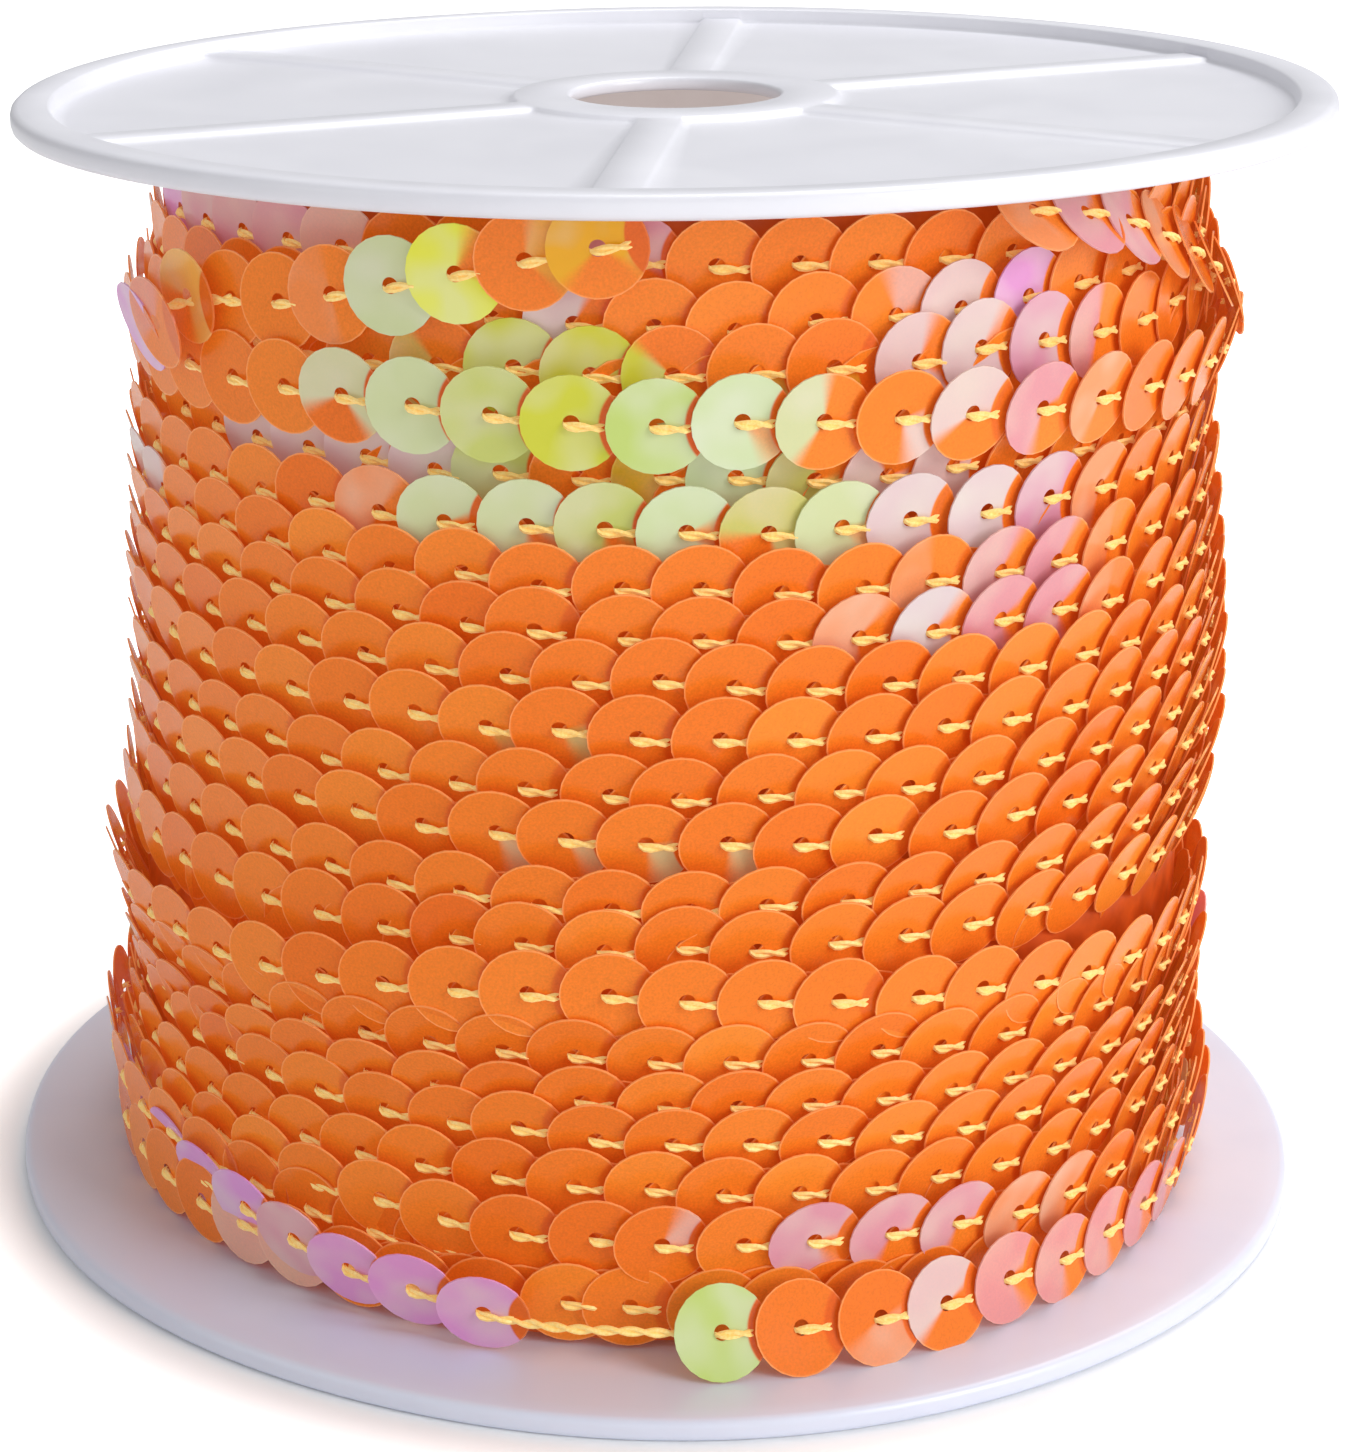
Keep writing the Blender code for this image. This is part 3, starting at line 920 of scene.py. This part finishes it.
# Painted flashes of the crossing sequins, by number: colour, share, slice's heading and reach
crossing_flashes = {
    0: (PEACH, 0.5, 180, -0.5), 1: (PINK, 0.75, 190, -0.8), 2: (PINK, 0.75, 190, -0.8),
    3: (PEACH, 0.4, 190, -0.2),
}
cross_centres, cross_axes = lay_run(
    "crossing_sequins", crossing_places, 10, (2.1, 0.7), 33, crossing_flashes,
)
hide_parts("trim_end")
run_centres = np.concatenate([end_centres, cross_centres])
run_axes = np.concatenate([end_axes, cross_axes])
add_piece(
    "run_stitches", carry_copies(stitch, run_centres, run_axes),
    copy_faces(stitch_faces, len(stitch), len(run_centres)), thread,
)

# %% Loose kink
def facing(azimuth, elevation):
    """Axes of a sequin that faces an azimuth and an elevation, both in degrees."""
    a, e = math.radians(azimuth), math.radians(elevation)
    out = np.array([math.cos(a) * math.cos(e), math.sin(a) * math.cos(e), math.sin(e)])
    across = np.array([-math.sin(a), math.cos(a), 0.0])
    return np.stack([across, np.cross(out, across), out])


# Columns: angle in degrees, radius and height in mm, azimuth and elevation that it faces
kink_table = np.array([
    (-148.6, 38.4, 62.1, -151.0, -20.0),
    (-144.0, 38.9, 63.0, -145.0, -15.0),
    (-142.0, 37.4, 64.7, -141.0, -9.0),
])
kink_turn = np.radians(kink_table[:, 0])
kink_places = MM * np.stack([
    kink_table[:, 1] * np.cos(kink_turn), kink_table[:, 1] * np.sin(kink_turn), kink_table[:, 2],
], axis=1)
kink_axes = np.stack([facing(row[3], row[4]) for row in kink_table])
# The kink's three sequins: painted flash colours, slices and doses
kink_flashes = (
    np.array([linear(LILAC), linear(PINK), linear("#E8C060")]),
    np.array([(-1.0, 0.0, 0.0), (-0.7, 0.7, 0.0), (0.7, 0.7, 0.0)]),
    np.array([(0.5, 0.9, -1.5), (0.4, 0.35, 0.2), (0.8, 0.6, -0.6)]),
)
add_sequins("kink_sequins", kink_places, kink_axes, kink_flashes)

# %% Bare thread
BARE_PLY_RADIUS = 0.17 * MM
THREAD_POINTS, THREAD_SIDES = 40, 8


def add_thread(name, angles, heights, lifts, turns):
    """A two-ply thread on the roll through a few angles, heights and lifts above its surface."""
    knots = np.array(angles, float)
    at = np.linspace(knots[0], knots[-1], THREAD_POINTS)
    z = smooth_through(at, knots, np.array(heights, float))
    radius = roll_radius(at, z) + smooth_through(at, knots, np.array(lifts, float))
    a = np.radians(at)
    path = np.stack([radius * np.cos(a), radius * np.sin(a), z], axis=1) * MM
    outward = np.stack([np.cos(a), np.sin(a), np.zeros_like(a)], axis=1)
    along = np.gradient(path, axis=0)
    beside = np.cross(outward, along)
    beside = beside / np.linalg.norm(beside, axis=1, keepdims=True)
    above = np.cross(along, beside)
    above = above / np.linalg.norm(above, axis=1, keepdims=True)
    plies = [
        ply_points(path, beside, above, BARE_PLY_RADIUS, phase, turns, THREAD_SIDES)
        for phase in (0.0, math.pi)
    ]
    faces = grid_faces(THREAD_POINTS, THREAD_SIDES, close_columns=True)
    joined = np.concatenate([faces, faces + THREAD_POINTS * THREAD_SIDES])
    return add_piece(name, np.concatenate(plies), joined, thread)


add_thread("kink_thread", (-146, -141, -136), (63.6, 64.5, 65.1), (2.4, 1.8, 1.4), 2)
add_thread("bare_thread", (-105.5, -98, -92, -87), (4.2, 4.2, 4.4, 4.2), (0.8, 1.2, 1.4, 1.2), 4)

# %% [markdown]
# ## The spool's flanges
#
# A moulded flange is a thin web inside a raised rim, with a hub ring round the bore and six
# ribs between them. The section is carried round the axis as one closed loop of points, and on
# the web the height also rises over each rib. The lines that run outward are kept parallel to
# the ribs near them, so the ribs' edges are straight and crisp without many faces.

# %% Flange surface
RIB_START = math.radians(25)
RIB_APART = math.radians(60)
# In mm: half a rib's width at its foot, the width of its sloping side, and the flange's own
# thickness, the heights of its hub ring and of its web, and the height of the upper flange
RIB_FOOT = 1.75
RIB_SIDE = 0.45
FLANGE_THICKNESS = 1.5
HUB_TOP = 0.9
WEB = 0.5
UPPER_FLANGE_HEIGHT = 73.5
# The rim reaches this much farther beside each rib, and as much less between them
LOBE = 0.15
HUB_RADIUS, BORE_RADIUS = 10.9, 7.0
RIM_WIDTH = 2.6


def flange_lines(radius_mm):
    """The angles of the outward lines at one radius: seven beside each rib, 23 between ribs."""
    offsets = np.array([-RIB_FOOT, -1.5, -1.3, 0.0, 1.3, 1.5, RIB_FOOT])
    beside = np.arcsin(np.clip(offsets / radius_mm, -1, 1))
    gap = np.linspace(beside[-1], RIB_APART + beside[0], 25)[1:-1]
    sector = np.concatenate([beside, gap])
    starts = RIB_START + np.arange(6) * RIB_APART
    return (starts[:, None] + sector).ravel()


def rib_share(radius_mm, angles):
    """One on a rib, nothing on the web, from the distance to the nearest rib's middle line."""
    half = math.radians(30)
    nearest = (angles - RIB_START + half) % RIB_APART - half
    distance = np.abs(radius_mm * np.sin(nearest))
    share = np.clip((RIB_FOOT - distance) / RIB_SIDE, 0, 1)
    return share * share * (3 - 2 * share)


def flange_points(outer):
    """The closed section, outer side first and downward, carried along the flange's lines.

    Each row of the section is a radius, a height, and one where a rib may raise it, else nothing.
    """
    thickness, hub_top, web = FLANGE_THICKNESS, HUB_TOP, WEB
    rim_in, hub, bore = outer - RIM_WIDTH, HUB_RADIUS, BORE_RADIUS
    section = [
        (outer - 0.55, thickness, 0), (outer - 0.25, thickness - 0.08, 0),
        (outer - 0.07, thickness - 0.25, 0), (outer, thickness - 0.5, 0), (outer, 0.5, 0),
        (outer - 0.07, 0.25, 0), (outer - 0.25, 0.08, 0), (outer - 0.55, 0.0, 0),
        (outer - 1.6, 0.0, 0), (bore + 8, 0.0, 0), (bore + 0.2, 0.0, 0), (bore, 0.2, 0),
        (bore, hub_top - 0.25, 0), (bore + 0.08, hub_top - 0.08, 0), (bore + 0.25, hub_top, 0),
        (hub - 0.3, hub_top, 0), (hub - 0.05, hub_top - 0.1, 0), (hub + 0.1, web + 0.12, 1),
        (hub + 0.35, web, 1),
    ]
    web_radii = np.linspace(hub + 1.0, rim_in - 1.0, 12)
    section += [(r, web, 1) for r in web_radii]
    section += [
        (rim_in - 0.25, web, 1), (rim_in - 0.05, web + 0.2, 1),
        (rim_in + 0.05, thickness - 0.12, 0), (rim_in + 0.25, thickness, 0),
    ]
    rows = []
    for radius, height, on_web in section:
        angles = flange_lines(radius)
        raised = on_web * rib_share(radius, angles) * (hub_top - 0.1 - height)
        wave = np.cos(6 * (angles - RIB_START))
        reach = radius * (1 + LOBE * wave * (radius / outer) ** 2 / outer)
        x, y = reach * np.cos(angles), reach * np.sin(angles)
        rows.append(np.stack([x, y, height + raised], axis=1))
    return np.stack(rows) * MM


print(f"ribs {2 * RIB_FOOT} mm wide, rim {FLANGE_THICKNESS} mm thick")

# %% Both flanges, and the barrel's material
def add_flange(name, node, outer, flip, lean):
    """A flange that replaces its CAD node: flipped for the lower one, leaned for the upper."""
    points = flange_points(outer)
    rows, columns = points.shape[:2]
    flat_points = points.reshape(-1, 3)
    if flip:
        flat_points = flat_points * (1, -1, -1) + (0, 0, FLANGE_THICKNESS * MM)
    else:
        tilt = math.atan(lean)
        x, z = flat_points[:, 0].copy(), flat_points[:, 2].copy()
        flat_points[:, 0] = x * math.cos(tilt) - z * math.sin(tilt)
        flat_points[:, 2] = x * math.sin(tilt) + z * math.cos(tilt) + UPPER_FLANGE_HEIGHT * MM
    piece = add_piece(
        name, flat_points, grid_faces(rows, columns, close_rows=True, close_columns=True),
        shaded_plastic if flip else plastic, sharp_degrees=70,
    )
    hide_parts(node)
    return piece


add_flange("upper_flange_moulding", "upper_flange", 43.5, flip=False, lean=0.027)
add_flange("lower_flange_moulding", "lower_flange", 45.0, flip=True, lean=0.0)

# The barrel's shape is right, so its node stays and only takes a new material
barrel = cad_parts["barrel"]
for place in barrel.material_slots:
    place.material = inside

# %% View transform
bpy.context.scene.view_settings.view_transform = "Standard"
